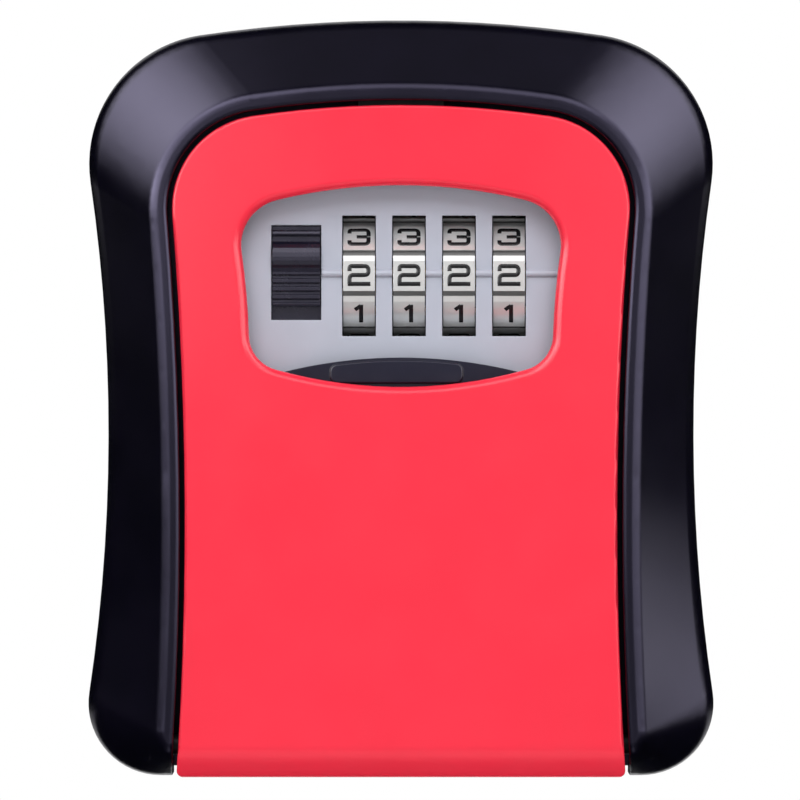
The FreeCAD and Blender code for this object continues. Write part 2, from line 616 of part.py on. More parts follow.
def make_wheel_shaft():
    """Turned shaft with a collar at its left end."""
    body = body_named("wheel_shaft")
    left, right, collar = SIZES["shaft_left"], SIZES["shaft_right"], SIZES["collar_right"]
    small, large = SIZES["shaft_radius"], SIZES["collar_radius"]
    points = [Vector(left, 0), Vector(left, large), Vector(collar, large), Vector(collar, small),
              Vector(right, small), Vector(right, 0)]
    sketch = sketch_on(body, "profile", "XY_Plane", 0)
    edges = [Part.LineSegment(points[i - 1], points[i]) for i in range(len(points))]
    sketch.addGeometry(edges, False)
    turned = body.newObject("PartDesign::Revolution", "turned")
    turned.Profile = sketch
    turned.ReferenceAxis = (sketch, ["H_Axis"])
    turned.Angle = 360
    doc.recompute()
    body.setExpression("Placement.Base.y", bound("-wheel_depth"))
    body.setExpression("Placement.Base.z", bound("wheel_height"))


# ---------------------------------------------------------------- latch and thumb slide
def make_latch_plate():
    """Stamped plate: tongue above, opening for the wheels, shelf with four fingers behind."""
    body = body_named("latch_plate")
    thickness = "latch_front - latch_back"
    pad(body, "plate", "XZ_Plane", "latch_back", thickness,
        rectangle("latch_left", "latch_right", "latch_low", "latch_high"),
        rectangle("latch_opening_left", "latch_opening_right",
                  "latch_opening_low", "latch_opening_high"))
    pad(body, "tongue", "XZ_Plane", "latch_back", thickness,
        rectangle("-tongue_half", "tongue_half", "latch_high", "tongue_high"))
    top, back = SIZES["tongue_high"], -SIZES["latch_back"]
    dress(body, "Chamfer", "tongue_ramp", "tongue_bevel",
          lambda e: edge_within(e, (-7, back, top), (7, back, top)))
    pad(body, "shelf", "XY_Plane", "shelf_low", "shelf_thickness",
        rectangle("wheel_first", "latch_opening_right", "-latch_back", "-shelf_back"))
    finger = pad(body, "finger", "YZ_Plane", "wheel_first + wheel_width / 2 + cam_gap",
                 "cam_thickness",
                 rectangle("-wheel_depth - finger_width / 2", "-wheel_depth + finger_width / 2",
                           "finger_low", "shelf_low"))
    row = body.newObject("PartDesign::LinearPattern", "fingers")
    row.Originals = [finger]
    row.Direction = (finger.Profile[0], ["N_Axis"])
    row.setExpression("Length", bound("wheel_pitch * %d" % (WHEELS - 1)))
    row.Occurrences = WHEELS
    body.Tip = row
    doc.recompute()
    pocket(body, "screw_hole", "XZ_Plane", "latch_front + 1", thickness + " + 2",
           circle("(slide_left + slide_right) / 2", "slide_screw_height", "screw_radius"))


def slide_profile():
    """Side view of the thumb slide, as points (depth, height) from its foot to its top."""
    ribs, pitch = 4, 1.22
    low, field, groove = SIZES["slide_low"], 34.6, 34.25
    points = [(31.6, low), (groove, low), (field, low + 0.25)]
    for i in range(ribs):
        edge = low + 0.45 + pitch * i
        points += [(field, edge), (groove, edge + 0.15), (groove, edge + 0.55),
                   (field, edge + 0.7)]
    points += [(field, 19.2), (34.7, 19.8), (35.05, 20.3), (35.25, 20.9), (35.25, 21.5),
               (35.1, 22.2), (34.8, 22.85), (34.4, 23.4), (33.9, 23.85), (33.9, 24.6),
               (34.35, 24.75), (34.5, 25.0), (34.4, 25.35), (33.9, 25.55),
               (33.9, SIZES["slide_high"]), (31.6, SIZES["slide_high"])]
    return [Vector(-depth, height) for depth, height in points]


def make_open_slider():
    """Black thumb slide: ribbed knob in the plate's slot and a wide foot behind it."""
    body = body_named("open_slider")
    pad(body, "foot", "XZ_Plane", "latch_front", "slide_base_front - latch_front",
        rectangle("slide_base_left", "slide_base_right", "slide_base_low", "slide_base_high"))
    points = slide_profile()
    edges = [Part.LineSegment(points[i - 1], points[i]) for i in range(len(points))]
    pad(body, "knob", "YZ_Plane", "slide_left", "slide_right - slide_left", drawn(edges))
    pocket(body, "screw_hole", "XZ_Plane", "slide_base_front + 1",
           "slide_base_front + 2 - latch_front",
           circle("(slide_left + slide_right) / 2", "slide_screw_height", "screw_radius - 0.2"))


# ---------------------------------------------------------------- chassis, cover, lever, springs
def make_lock_chassis():
    """Cradle: flange on the door's posts, two cheeks, a floor, rails and spring ledges."""
    body = body_named("lock_chassis")
    thickness = "chassis_front - chassis_back"
    pad(body, "flange", "XZ_Plane", "chassis_back", thickness,
        rectangle("-chassis_half", "chassis_half", "chassis_low", "chassis_high"))
    pocket(body, "wheel_room", "XZ_Plane", "chassis_front + 1", thickness + " + 2",
           rectangle("cheek_left_inner", "cheek_right_inner", "cradle_floor", "chassis_high + 1"))
    pocket(body, "shaft_relief", "XZ_Plane", "chassis_front + 1", thickness + " + 2",
           rectangle("relief_left", "cheek_left", "relief_low", "relief_high"),
           rectangle("cheek_right", "relief_right", "relief_low", "relief_high"))
    for side, inner, outer in (("left", "cheek_left", "cheek_left_inner"),
                               ("right", "cheek_right_inner", "cheek_right")):
        pad(body, "cheek_" + side, "YZ_Plane", inner, "%s - (%s)" % (outer, inner),
            rectangle("-chassis_front", "-cheek_back", "cheek_low", "cheek_high"))
    pad(body, "floor", "XY_Plane", "cheek_low", "cradle_floor - cheek_low",
        rectangle("cheek_left", "cheek_right", "-chassis_front", "-cradle_back"))
    pocket(body, "shaft_bores", "YZ_Plane", "cheek_right + 1", "cheek_right - cheek_left + 2",
           circle("-wheel_depth", "wheel_height", "cam_bore"))
    pad(body, "spacers", "XZ_Plane", "chassis_front", "plate_back - chassis_front",
        *[circle(x, z, "post_radius - 0.1") for x, z in post_places()])
    rise = "inner_front - chassis_front"
    pad(body, "rails", "XZ_Plane", "chassis_front", rise,
        rectangle("latch_left - rail_gap - rail_width", "latch_left - rail_gap",
                  "rail_low", "rail_high"),
        rectangle("latch_right + rail_gap", "latch_right + rail_gap + rail_width",
                  "rail_low", "rail_high"))
    pad(body, "spring_ledges", "XZ_Plane", "chassis_front", rise,
        rectangle("-ledge_outer", "-ledge_inner", "ledge_low", "ledge_high"),
        rectangle("ledge_inner", "ledge_outer", "ledge_low", "ledge_high"))
    pocket(body, "screw_holes", "XZ_Plane", "plate_back + 1", "plate_back + 2 - chassis_back",
           *[circle(x, z, "screw_radius + 0.1") for x, z in post_places()])


def make_lock_cover():
    """Inner cover over the lock, with the slot that the reset lever moves in."""
    body = body_named("lock_cover")
    thickness = "chassis_back - cover_flange"
    pad(body, "flange", "XZ_Plane", "cover_flange", thickness,
        rectangle("-chassis_half", "chassis_half", "chassis_low", "chassis_high"))
    pad(body, "box", "XZ_Plane", "cover_back", "cover_flange - cover_back",
        rectangle("cover_left", "cover_right", "cover_low", "cover_high"))
    pad(body, "bulge", "XZ_Plane", "cover_back", "cover_flange - cover_back",
        rectangle("cover_right", "bulge_right", "bulge_low", "bulge_high"))
    hollow = "chassis_back + 0.5 - cover_back - cover_wall"
    pocket(body, "hollow", "XZ_Plane", "chassis_back + 0.5", hollow,
           rectangle("cover_left + cover_wall", "cover_right - cover_wall",
                     "cover_low + cover_wall", "cover_high - cover_wall"))
    pocket(body, "bulge_hollow", "XZ_Plane", "chassis_back + 0.5", hollow,
           rectangle("cover_right - cover_wall - 1", "bulge_right - cover_wall",
                     "bulge_low + cover_wall", "bulge_high - cover_wall"))
    pocket(body, "lever_slot", "XZ_Plane", "cover_back + cover_wall + 1", "cover_wall + 2",
           rectangle("lever_left - 0.3", "lever_right + reset_travel + 0.3",
                     "wheel_height - lever_half - 0.3", "wheel_height + lever_half + 0.3"))
    pocket(body, "screw_holes", "XZ_Plane", "chassis_back + 1", thickness + " + 2",
           *[circle(x, z, "screw_radius + 0.1") for x, z in post_places()])
    rear = -SIZES["cover_back"]
    dress(body, "Fillet", "rear_round", 1.0,
          lambda e: edge_within(e, (-19, rear, 2), (31, rear, 39)) and not in_lever_slot(e))


def in_lever_slot(edge):
    box = edge.BoundBox
    left, right = SIZES["lever_left"] - 1, SIZES["lever_right"] + SIZES["reset_travel"] + 1
    inside = box.XMin > left and box.XMax < right
    return inside and box.ZMin > SIZES["bulge_low"] + 0.5 and box.ZMax < SIZES["bulge_high"] - 0.5


def make_reset_lever():
    """Arm fixed on the shaft's end, with a thumb tab behind the cover."""
    body = body_named("reset_lever")
    pad(body, "arm", "YZ_Plane", "lever_left", "lever_right - lever_left",
        rectangle("-wheel_depth - lever_half", "-lever_back",
                  "wheel_height - lever_half", "wheel_height + lever_half"))
    pad(body, "tab", "XZ_Plane", "lever_back", "tab_front - lever_back",
        rectangle("tab_left", "tab_right", "wheel_height - lever_half", "wheel_height + lever_half"))
    pocket(body, "bore", "YZ_Plane", "tab_right + 1", "tab_right - tab_left + 2",
           circle("-wheel_depth", "wheel_height", "shaft_radius"))


def make_detent_spring():
    """Leaf comb: a foot on the cradle's floor and one bumped finger behind each wheel."""
    body = body_named("detent_spring")
    thickness = "detent_front - detent_back"
    pad(body, "foot", "XY_Plane", "cradle_floor", thickness,
        rectangle("wheel_first - detent_width / 2",
                  "wheel_first + wheel_pitch * 3 + detent_width / 2",
                  "-cheek_back - 1", "-detent_back"))
    left = "wheel_first - detent_width / 2"
    finger = pad(body, "finger", "XZ_Plane", "detent_back", thickness,
                 rectangle(left, "wheel_first + detent_width / 2", "cradle_floor", "detent_high"))
    bump = pad(body, "bump", "YZ_Plane", left, "detent_width",
               circle("-detent_front", "wheel_height", "detent_bump"))
    row = body.newObject("PartDesign::LinearPattern", "comb")
    row.Originals = [finger, bump]
    row.Direction = (bump.Profile[0], ["N_Axis"])
    row.setExpression("Length", bound("wheel_pitch * %d" % (WHEELS - 1)))
    row.Occurrences = WHEELS
    body.Tip = row
    doc.recompute()


def feature_named(name, shape, placement=None):
    """A sub-part whose shape is made by Part's own functions."""
    feature = doc.addObject("Part::Feature", name)
    feature.Label = name
    feature.Shape = shape
    if placement:
        feature.Placement = placement
    parts[name] = feature


def coil(radius, length, turns):
    """A coil spring that stands on z = 0."""
    wire = SIZES["spring_wire"] / 2
    helix = Part.makeHelix((length - 2 * wire) / turns, length - 2 * wire, radius)
    helix.translate(Vector(0, 0, wire))
    section = Part.Wire(Part.makeCircle(wire, Vector(radius, 0, wire), Vector(0, 1, 0)))
    return Part.Wire(helix.Edges).makePipeShell([section], True, True)


def make_springs():
    """Two springs under the latch plate and one on the shaft, each touching both its ends."""
    length = SIZES["latch_low"] - SIZES["ledge_high"]
    depth = (SIZES["latch_front"] + SIZES["latch_back"]) / 2
    shape = coil(SIZES["latch_spring_radius"] - SIZES["spring_wire"] / 2, length, 5.4)
    for name, side in (("latch_spring_left", -1), ("latch_spring_right", 1)):
        place = Vector(side * SIZES["spring_across"], -depth, SIZES["ledge_high"])
        feature_named(name, shape, FreeCAD.Placement(place, FreeCAD.Rotation()))
    length = SIZES["cheek_left"] - SIZES["collar_right"]
    place = Vector(SIZES["collar_right"], -SIZES["wheel_depth"], SIZES["wheel_height"])
    turn = FreeCAD.Rotation(Vector(0, 1, 0), 90)
    feature_named("reset_spring", coil(SIZES["reset_spring_radius"], length, 4),
                  FreeCAD.Placement(place, turn))


def screw(head_radius, head, radius, length):
    """A pan-head screw along +Z: its head below z = 0, a cross recess in it, the shank above."""
    shape = Part.makeCylinder(head_radius, head, Vector(0, 0, -head))
    shape = shape.makeFillet(head * 0.45, [e for e in shape.Edges if e.BoundBox.ZMax < -head + 1e-6])
    shape = shape.fuse(Part.makeCylinder(radius, length))
    for along, across in ((1.2, 0.3), (0.3, 1.2)):
        slot = Part.makeBox(2 * along, 2 * across, head * 0.6, Vector(-along, -across, -head))
        shape = shape.cut(slot)
    return shape


def make_screws():
    """Four cover screws into the door's posts, and the one that holds the thumb slide."""
    forward = FreeCAD.Rotation(Vector(1, 0, 0), 90)
    cover_screw = screw(SIZES["screw_head_radius"], SIZES["screw_head"], SIZES["screw_radius"],
                        SIZES["screw_end"] - SIZES["cover_flange"])
    group = []
    for across in (-SIZES["post_across"], SIZES["post_across"]):
        for up in (SIZES["post_low"], SIZES["post_high"]):
            one = cover_screw.copy()
            place = Vector(across, -SIZES["cover_flange"], up)
            one.Placement = FreeCAD.Placement(place, forward)
            group.append(one)
    feature_named("cover_screws", Part.makeCompound(group))
    place = Vector((SIZES["slide_left"] + SIZES["slide_right"]) / 2, -SIZES["latch_back"],
                   SIZES["slide_screw_height"])
    small = screw(2.0, 1.0, SIZES["screw_radius"] - 0.2, SIZES["slide_base_front"]
                  - SIZES["latch_back"])
    feature_named("slider_screw", small, FreeCAD.Placement(place, forward))


# ---------------------------------------------------------------- build, check, write
make_housing()
make_door_panel()
make_hinge_pin("hinge_pin_left", "-pin_outer")
make_hinge_pin("hinge_pin_right", "pin_inner")
make_shutter()
make_shutter_track()
make_face_plate()
for index in range(WHEELS):
    make_number_wheel(index)
    make_wheel_cam(index)
make_wheel_shaft()
make_latch_plate()
make_open_slider()
make_lock_chassis()
make_lock_cover()
make_reset_lever()
make_detent_spring()
make_springs()
make_screws()
doc.recompute()

for item in doc.Objects:
    if "Invalid" in item.State or "Error" in item.State:
        raise RuntimeError("%s failed: %s" % (item.Label, item.State))
os.makedirs("parts", exist_ok=True)
for name, part in parts.items():
    shape = part.Shape
    if shape.isNull() or not shape.isValid():
        raise RuntimeError("%s has no valid shape" % name)
    shape.exportStep("parts/%s.step" % name)
    print("%-20s %9.1f mm3 %2d solid(s)" % (name, shape.Volume, len(shape.Solids)))
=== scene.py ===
import json
import math

import bmesh
import bpy
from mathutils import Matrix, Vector


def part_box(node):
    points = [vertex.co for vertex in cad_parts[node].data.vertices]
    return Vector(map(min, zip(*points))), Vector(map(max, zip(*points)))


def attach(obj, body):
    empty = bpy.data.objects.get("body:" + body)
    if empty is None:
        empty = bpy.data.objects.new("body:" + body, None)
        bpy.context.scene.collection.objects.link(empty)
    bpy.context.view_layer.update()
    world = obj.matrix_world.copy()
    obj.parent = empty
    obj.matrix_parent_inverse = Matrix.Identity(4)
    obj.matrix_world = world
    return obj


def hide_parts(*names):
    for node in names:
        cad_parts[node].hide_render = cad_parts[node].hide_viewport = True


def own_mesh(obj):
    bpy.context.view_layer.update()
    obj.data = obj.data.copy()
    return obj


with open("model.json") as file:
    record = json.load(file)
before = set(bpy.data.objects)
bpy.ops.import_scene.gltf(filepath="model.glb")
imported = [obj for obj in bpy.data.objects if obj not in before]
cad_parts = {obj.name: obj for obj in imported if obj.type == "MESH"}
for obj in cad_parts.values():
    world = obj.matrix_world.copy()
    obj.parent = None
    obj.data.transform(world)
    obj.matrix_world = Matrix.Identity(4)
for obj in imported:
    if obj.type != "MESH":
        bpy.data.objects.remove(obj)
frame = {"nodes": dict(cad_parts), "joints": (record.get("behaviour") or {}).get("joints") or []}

MM = 0.001
NODES = frame["nodes"]
JOINTS = {joint["name"]: joint for joint in frame["joints"]}
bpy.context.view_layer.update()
WHEELS = 4
WHEEL_Y, WHEEL_Z = JOINTS["wheel_1_spin"]["pos_m"][1:]


# ---------------------------------------------------------------- material patterns
BEVEL_SAMPLES = 6
RUB_SAMPLES = 4
# How far two surfaces' directions agree where the rubbing of an edge starts and where it is full.
RUB_START, RUB_FULL = 0.98, 0.8
RUB_SCALE = 700
PAINT_FADE = 0.03 * MM


class Finish:
    """A principled material whose colour, roughness and surface come from procedural patterns."""

    def __init__(self, name, color, roughness, metallic=0.0, specular=0.5, tint=(1, 1, 1)):
        self.slot = name
        self.material = bpy.data.materials.new(name)
        self.material.use_nodes = True
        self.material.diffuse_color = (*color, 1)
        self.tree = self.material.node_tree
        self.shader = next(n for n in self.tree.nodes if n.type == "BSDF_PRINCIPLED")
        self.shader.inputs["Base Color"].default_value = (*color, 1)
        self.shader.inputs["Roughness"].default_value = roughness
        self.shader.inputs["Metallic"].default_value = metallic
        self.shader.inputs["Specular IOR Level"].default_value = specular
        self.shader.inputs["Specular Tint"].default_value = (*tint, 1)
        self.place = self.node("ShaderNodeTexCoord").outputs["Object"]
        self.roughness = roughness
        self.tone = color
        self.rough = None
        self.normal = None

    def node(self, kind, **settings):
        made = self.tree.nodes.new(kind)
        for key, value in settings.items():
            setattr(made, key, value)
        return made

    def link(self, out, into):
        self.tree.links.new(out, into)

    def stretched(self, stretch):
        """Object coordinates scaled per axis, for grain that runs one way."""
        mapping = self.node("ShaderNodeMapping")
        mapping.inputs["Scale"].default_value = stretch
        self.link(self.place, mapping.inputs["Vector"])
        return mapping.outputs["Vector"]

    def noise(self, scale, detail=3.0, rough=0.55, stretch=None):
        made = self.node("ShaderNodeTexNoise")
        made.inputs["Scale"].default_value = scale
        made.inputs["Detail"].default_value = detail
        made.inputs["Roughness"].default_value = rough
        self.link(self.stretched(stretch) if stretch else self.place, made.inputs["Vector"])
        return made.outputs["Fac"]

    def ranged(self, value, low, high, to_low, to_high):
        made = self.node("ShaderNodeMapRange", clamp=True)
        limits = {"From Min": low, "From Max": high, "To Min": to_low, "To Max": to_high}
        for socket, number in limits.items():
            made.inputs[socket].default_value = number
        self.link(value, made.inputs["Value"])
        return made.outputs["Result"]

    def maths(self, operation, first, second):
        """An operation on two values; each is a number or a socket."""
        made = self.node("ShaderNodeMath", operation=operation)
        for socket, value in zip(made.inputs, (first, second)):
            if isinstance(value, (int, float)):
                socket.default_value = value
            else:
                self.link(value, socket)
        return made.outputs["Value"]

    def toned(self, share, other):
        """Shift the colour towards another one; the share is a socket."""
        made = self.node("ShaderNodeMix", data_type="RGBA")
        self.link(share, made.inputs["Factor"])
        first, second = (socket for socket in made.inputs if socket.type == "RGBA")
        if isinstance(self.tone, tuple):
            first.default_value = (*self.tone, 1)
        else:
            self.link(self.tone, first)
        second.default_value = (*other, 1)
        self.tone = next(socket for socket in made.outputs if socket.type == "RGBA")

    def mottle(self, other, scale):
        """Slow drift between the base colour and another tone."""
        self.toned(self.ranged(self.noise(scale), 0.35, 0.65, 0, 1), other)
        return self

    def uneven(self, spread, scale, stretch=None):
        """Roughness that varies over the surface."""
        pattern = self.noise(scale, 4, stretch=stretch)
        self.rough = self.ranged(pattern, 0.3, 0.7, self.roughness - spread, self.roughness + spread)
        return self

    def rounded(self, radius):
        """Edges shaded as if broken by a small radius."""
        bevel = self.node("ShaderNodeBevel", samples=BEVEL_SAMPLES)
        bevel.inputs["Radius"].default_value = radius
        self.normal = bevel.outputs["Normal"]
        return self

    def grained(self, scale, height, detail=2.0, stretch=None):
        """Relief of that height from a noise pattern."""
        bump = self.node("ShaderNodeBump")
        bump.inputs["Strength"].default_value = 1.0
        bump.inputs["Distance"].default_value = height
        self.link(self.noise(scale, detail, 0.5, stretch), bump.inputs["Height"])
        if self.normal:
            self.link(self.normal, bump.inputs["Normal"])
        self.normal = bump.outputs["Normal"]
        return self

    def worn(self, color, radius, amount):
        """Edges rubbed to another tone, broken up by noise."""
        bevel = self.node("ShaderNodeBevel", samples=RUB_SAMPLES)
        bevel.inputs["Radius"].default_value = radius
        geometry = self.node("ShaderNodeNewGeometry")
        agreement = self.node("ShaderNodeVectorMath", operation="DOT_PRODUCT")
        self.link(bevel.outputs["Normal"], agreement.inputs[0])
        self.link(geometry.outputs["True Normal"], agreement.inputs[1])
        edge = self.ranged(agreement.outputs["Value"], RUB_START, RUB_FULL, 0, 1)
        broken = self.ranged(self.noise(RUB_SCALE, 4), 0.45, 0.7, 0, amount)
        self.toned(self.maths("MULTIPLY", edge, broken), color)
        return self

    def specked(self, color, scale, size, share):
        """Sparse specks of dust, in that share of the pattern's cells."""
        cells = self.node("ShaderNodeTexVoronoi", feature="F1")
        cells.inputs["Scale"].default_value = scale
        self.link(self.place, cells.inputs["Vector"])
        near = self.ranged(cells.outputs["Distance"], size, size / 2, 0, 1)
        split = self.node("ShaderNodeSeparateColor")
        self.link(cells.outputs["Color"], split.inputs["Color"])
        chosen = self.maths("LESS_THAN", split.outputs["Red"], share)
        self.toned(self.maths("MULTIPLY", near, chosen), color)
        return self

    def painted_inside(self, radius, color, roughness, metallic):
        """Dull paint within that radius of the wheels' axis, and so much metal beyond it."""
        away = self.node("ShaderNodeVectorMath", operation="SUBTRACT")
        self.link(self.place, away.inputs[0])
        away.inputs[1].default_value = (0, WHEEL_Y, WHEEL_Z)
        flat = self.node("ShaderNodeVectorMath", operation="MULTIPLY")
        self.link(away.outputs["Vector"], flat.inputs[0])
        flat.inputs[1].default_value = (0, 1, 1)
        reach = self.node("ShaderNodeVectorMath", operation="LENGTH")
        self.link(flat.outputs["Vector"], reach.inputs[0])
        painted = self.ranged(reach.outputs["Value"], radius, radius - PAINT_FADE, 0, 1)
        bare = self.ranged(reach.outputs["Value"], radius - PAINT_FADE, radius, 0, metallic)
        self.toned(painted, color)
        self.link(bare, self.shader.inputs["Metallic"])
        self.rough = self.maths("MAXIMUM", self.rough, self.maths("MULTIPLY", painted, roughness))
        return self

    def done(self):
        """Join the patterns to the shader."""
        self.link(self.tone, self.shader.inputs["Base Color"])
        self.link(self.rough, self.shader.inputs["Roughness"])
        if self.normal:
            self.link(self.normal, self.shader.inputs["Normal"])
        return self.material


# ---------------------------------------------------------------- materials, one for each slot
SATIN_METAL = 0.32
WHEEL_RIM = 9.72 * MM

FINISHES = [
    Finish("black_coat", (0.0006, 0.0004, 0.0026), 0.21, specular=0.5, tint=(0.72, 0.66, 1.0))
    .mottle((0.0014, 0.0010, 0.0042), 90)
    .uneven(0.015, 120)
    .rounded(0.5 * MM)
    .grained(500, 0.002 * MM, 3)
    .grained(2600, 0.0006 * MM)
    .worn((0.03, 0.03, 0.035), 0.4 * MM, 0.3)
    .specked((0.25, 0.24, 0.27), 330, 0.10, 0.012),

    Finish("red_coat", (0.91, 0.024, 0.056), 0.21, specular=0.45)
    .mottle((0.89, 0.024, 0.054), 60)
    .uneven(0.03, 140)
    .rounded(0.35 * MM)
    .grained(560, 0.003 * MM, 3)
    .worn((0.95, 0.09, 0.12), 0.4 * MM, 0.3),

    Finish("grey_plate", (0.40, 0.42, 0.495), 0.34, specular=0.5)
    .mottle((0.41, 0.43, 0.51), 110)
    .uneven(0.05, 220)
    .rounded(0.3 * MM)
    .grained(1500, 0.002 * MM, 3),

    Finish("nickel", (0.66, 0.665, 0.66), 0.20, metallic=SATIN_METAL)
    .mottle((0.63, 0.635, 0.63), 300)
    .uneven(0.02, 500, (1, 6, 6))
    .painted_inside(WHEEL_RIM, (0.12, 0.12, 0.12), 0.5, SATIN_METAL)
    .rounded(0.06 * MM)
    .grained(1800, 0.0002 * MM, 3, (1, 8, 8)),

    Finish("digit_ink", (0.004, 0.004, 0.005), 0.25, specular=0.3)
    .mottle((0.008, 0.008, 0.009), 500)
    .uneven(0.04, 700)
    .grained(1600, 0.001 * MM),

    Finish("steel", (0.58, 0.57, 0.56), 0.30, metallic=1.0)
    .mottle((0.46, 0.45, 0.44), 200)
    .uneven(0.07, 400, (1, 8, 8))
    .rounded(0.15 * MM)
    .grained(900, 0.003 * MM, 3, (1, 9, 9)),

    Finish("black_steel", (0.006, 0.006, 0.007), 0.45, specular=0.25)
    .mottle((0.010, 0.010, 0.010), 220)
    .uneven(0.06, 400)
    .rounded(0.15 * MM)
    .grained(1100, 0.003 * MM, 3)
    .worn((0.14, 0.14, 0.14), 0.15 * MM, 0.35),

    Finish("zinc_plate", (0.60, 0.62, 0.62), 0.36, metallic=1.0)
    .mottle((0.50, 0.51, 0.47), 120)
    .uneven(0.08, 260)
    .rounded(0.15 * MM)
    .grained(700, 0.004 * MM, 4),

    Finish("spring_steel", (0.50, 0.49, 0.47), 0.30, metallic=1.0)
    .mottle((0.36, 0.35, 0.33), 400)
    .uneven(0.06, 700)
    .grained(1400, 0.002 * MM),

    Finish("screw_steel", (0.56, 0.56, 0.57), 0.30, metallic=1.0)
    .mottle((0.44, 0.44, 0.44), 350)
    .uneven(0.07, 600)
    .rounded(0.12 * MM)
    .grained(1200, 0.003 * MM),

    Finish("brass", (0.72, 0.52, 0.22), 0.28, metallic=1.0)
    .mottle((0.58, 0.40, 0.16), 240)
    .uneven(0.06, 500)
    .rounded(0.12 * MM)
    .grained(1000, 0.002 * MM),

    Finish("slate_plastic", (0.011, 0.011, 0.026), 0.20, specular=0.35)
    .mottle((0.0095, 0.0095, 0.023), 120)
    .uneven(0.05, 260)
    .rounded(0.2 * MM)
    .grained(1300, 0.002 * MM, 3)
    .specked((0.12, 0.12, 0.16), 420, 0.10, 0.02),

    Finish("slider_plastic", (0.006, 0.0055, 0.013), 0.26, specular=0.55, tint=(0.85, 0.82, 1.0))
    .mottle((0.008, 0.007, 0.015), 260)
    .uneven(0.04, 400)
    .rounded(0.12 * MM)
    .grained(1500, 0.002 * MM, 3),

    Finish("black_plastic", (0.014, 0.014, 0.015), 0.42, specular=0.45)
    .mottle((0.020, 0.020, 0.022), 160)
    .uneven(0.06, 300)
    .rounded(0.25 * MM)
    .grained(1400, 0.005 * MM, 3),

    Finish("cover_plastic", (0.022, 0.022, 0.024), 0.50, specular=0.45)
    .mottle((0.030, 0.030, 0.032), 120)
    .uneven(0.06, 300)
    .rounded(0.3 * MM)
    .grained(1700, 0.012 * MM, 4),
]
MATERIALS = {finish.slot: finish.done() for finish in FINISHES}

for node in NODES.values():
    for holder in node.material_slots:
        holder.material = MATERIALS[holder.material.name.split(".")[0]]


# ---------------------------------------------------------------- shared mesh helpers
def piece(name, shape, body, slot):
    """A smooth object from a bmesh in the rest pose, which rides on a body and has a slot's finish."""
    mesh = bpy.data.meshes.new(name)
    bmesh.ops.recalc_face_normals(shape, faces=shape.faces[:])
    shape.to_mesh(mesh)
    shape.free()
    mesh.materials.append(MATERIALS[slot])
    made = bpy.data.objects.new(name, mesh)
    bpy.context.scene.collection.objects.link(made)
    for face in mesh.polygons:
        face.use_smooth = True
    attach(made, body)
    return made


def skin(shape, rings, closed=False):
    """Faces along a row of rings, with a cap at each end of an open row."""
    for first, second in zip(rings, rings[1:] + rings[:1] if closed else rings[1:]):
        for i in range(len(first)):
            shape.faces.new((first[i - 1], first[i], second[i], second[i - 1]))
    if not closed:
        shape.faces.new(rings[0])
        shape.faces.new(rings[-1])


# ---------------------------------------------------------------- digits on the wheels
DIGITS = 10
FRONT_DIGIT = 2
DIGIT_HALF = Vector((1.44, 1.35)) * MM
# A stroke is a low bead. STROKE is half its width, and CORNER is how far a corner's rounding reaches.
STROKE = 0.33 * MM
CORNER = 0.62 * MM
CORNER_STEPS = 6
CORNER_SHARE = 0.48
LONGEST_STEP = 0.25 * MM
BEAD = ((-1, -0.03 * MM), (-0.92, 0.03 * MM), (0, 0.045 * MM), (0.92, 0.03 * MM), (1, -0.03 * MM))
# The facets are crowned, and the front one is turned a little from straight ahead.
FACET_STEP = 2 * math.pi / DIGITS
FACET_TURN = math.radians(2.3)
DIGIT_MIDDLE = 0.27 * MM
CROWN_MIDDLE = 0.425 * MM
CROWN_OUT = 9.905 * MM
CROWN_RADIUS = 26 * MM

# Centre lines of the digits in a square from -1 to 1; a True marks a closed line.
STROKES = {
    0: [([(-1, -1), (-1, 1), (1, 1), (1, -1)], True)],
    1: [([(-0.42, 0.52), (0.2, 1.06)], False), ([(0.22, 1.18), (0.22, -1.18)], False)],
    2: [([(-1, 0.45), (-1, 1), (1, 1), (1, 0), (-1, 0), (-1, -1)], False),
        ([(-1.2, -1), (1.2, -1)], False)],
    3: [([(-1, 0.5), (-1, 1), (1, 1), (1, 0.05)], False), ([(-0.25, 0), (0.85, 0)], False),
        ([(1, -0.05), (1, -1), (-1, -1), (-1, -0.5)], False)],
    4: [([(0.5, -1.2), (0.5, 1.1), (-1, -0.35), (1.15, -0.35)], False)],
    5: [([(1.1, 1), (-0.9, 1), (-0.9, 0.1), (1, 0.1), (1, -1), (-1, -1), (-1, -0.5)], False)],
    6: [([(1, 0.55), (1, 1), (-1, 1), (-1, 0)], False),
        ([(-1, -1), (-1, 0.05), (1, 0.05), (1, -1)], True)],
    7: [([(-1.1, 1), (1, 1), (-0.2, -1.2)], False)],
    8: [([(-1, -1), (-1, 1), (1, 1), (1, -1)], True), ([(-0.9, 0), (0.9, 0)], False)],
    9: [([(-1, -0.55), (-1, -1), (1, -1), (1, 0)], False),
        ([(1, 1), (1, -0.05), (-1, -0.05), (-1, 1)], True)],
}


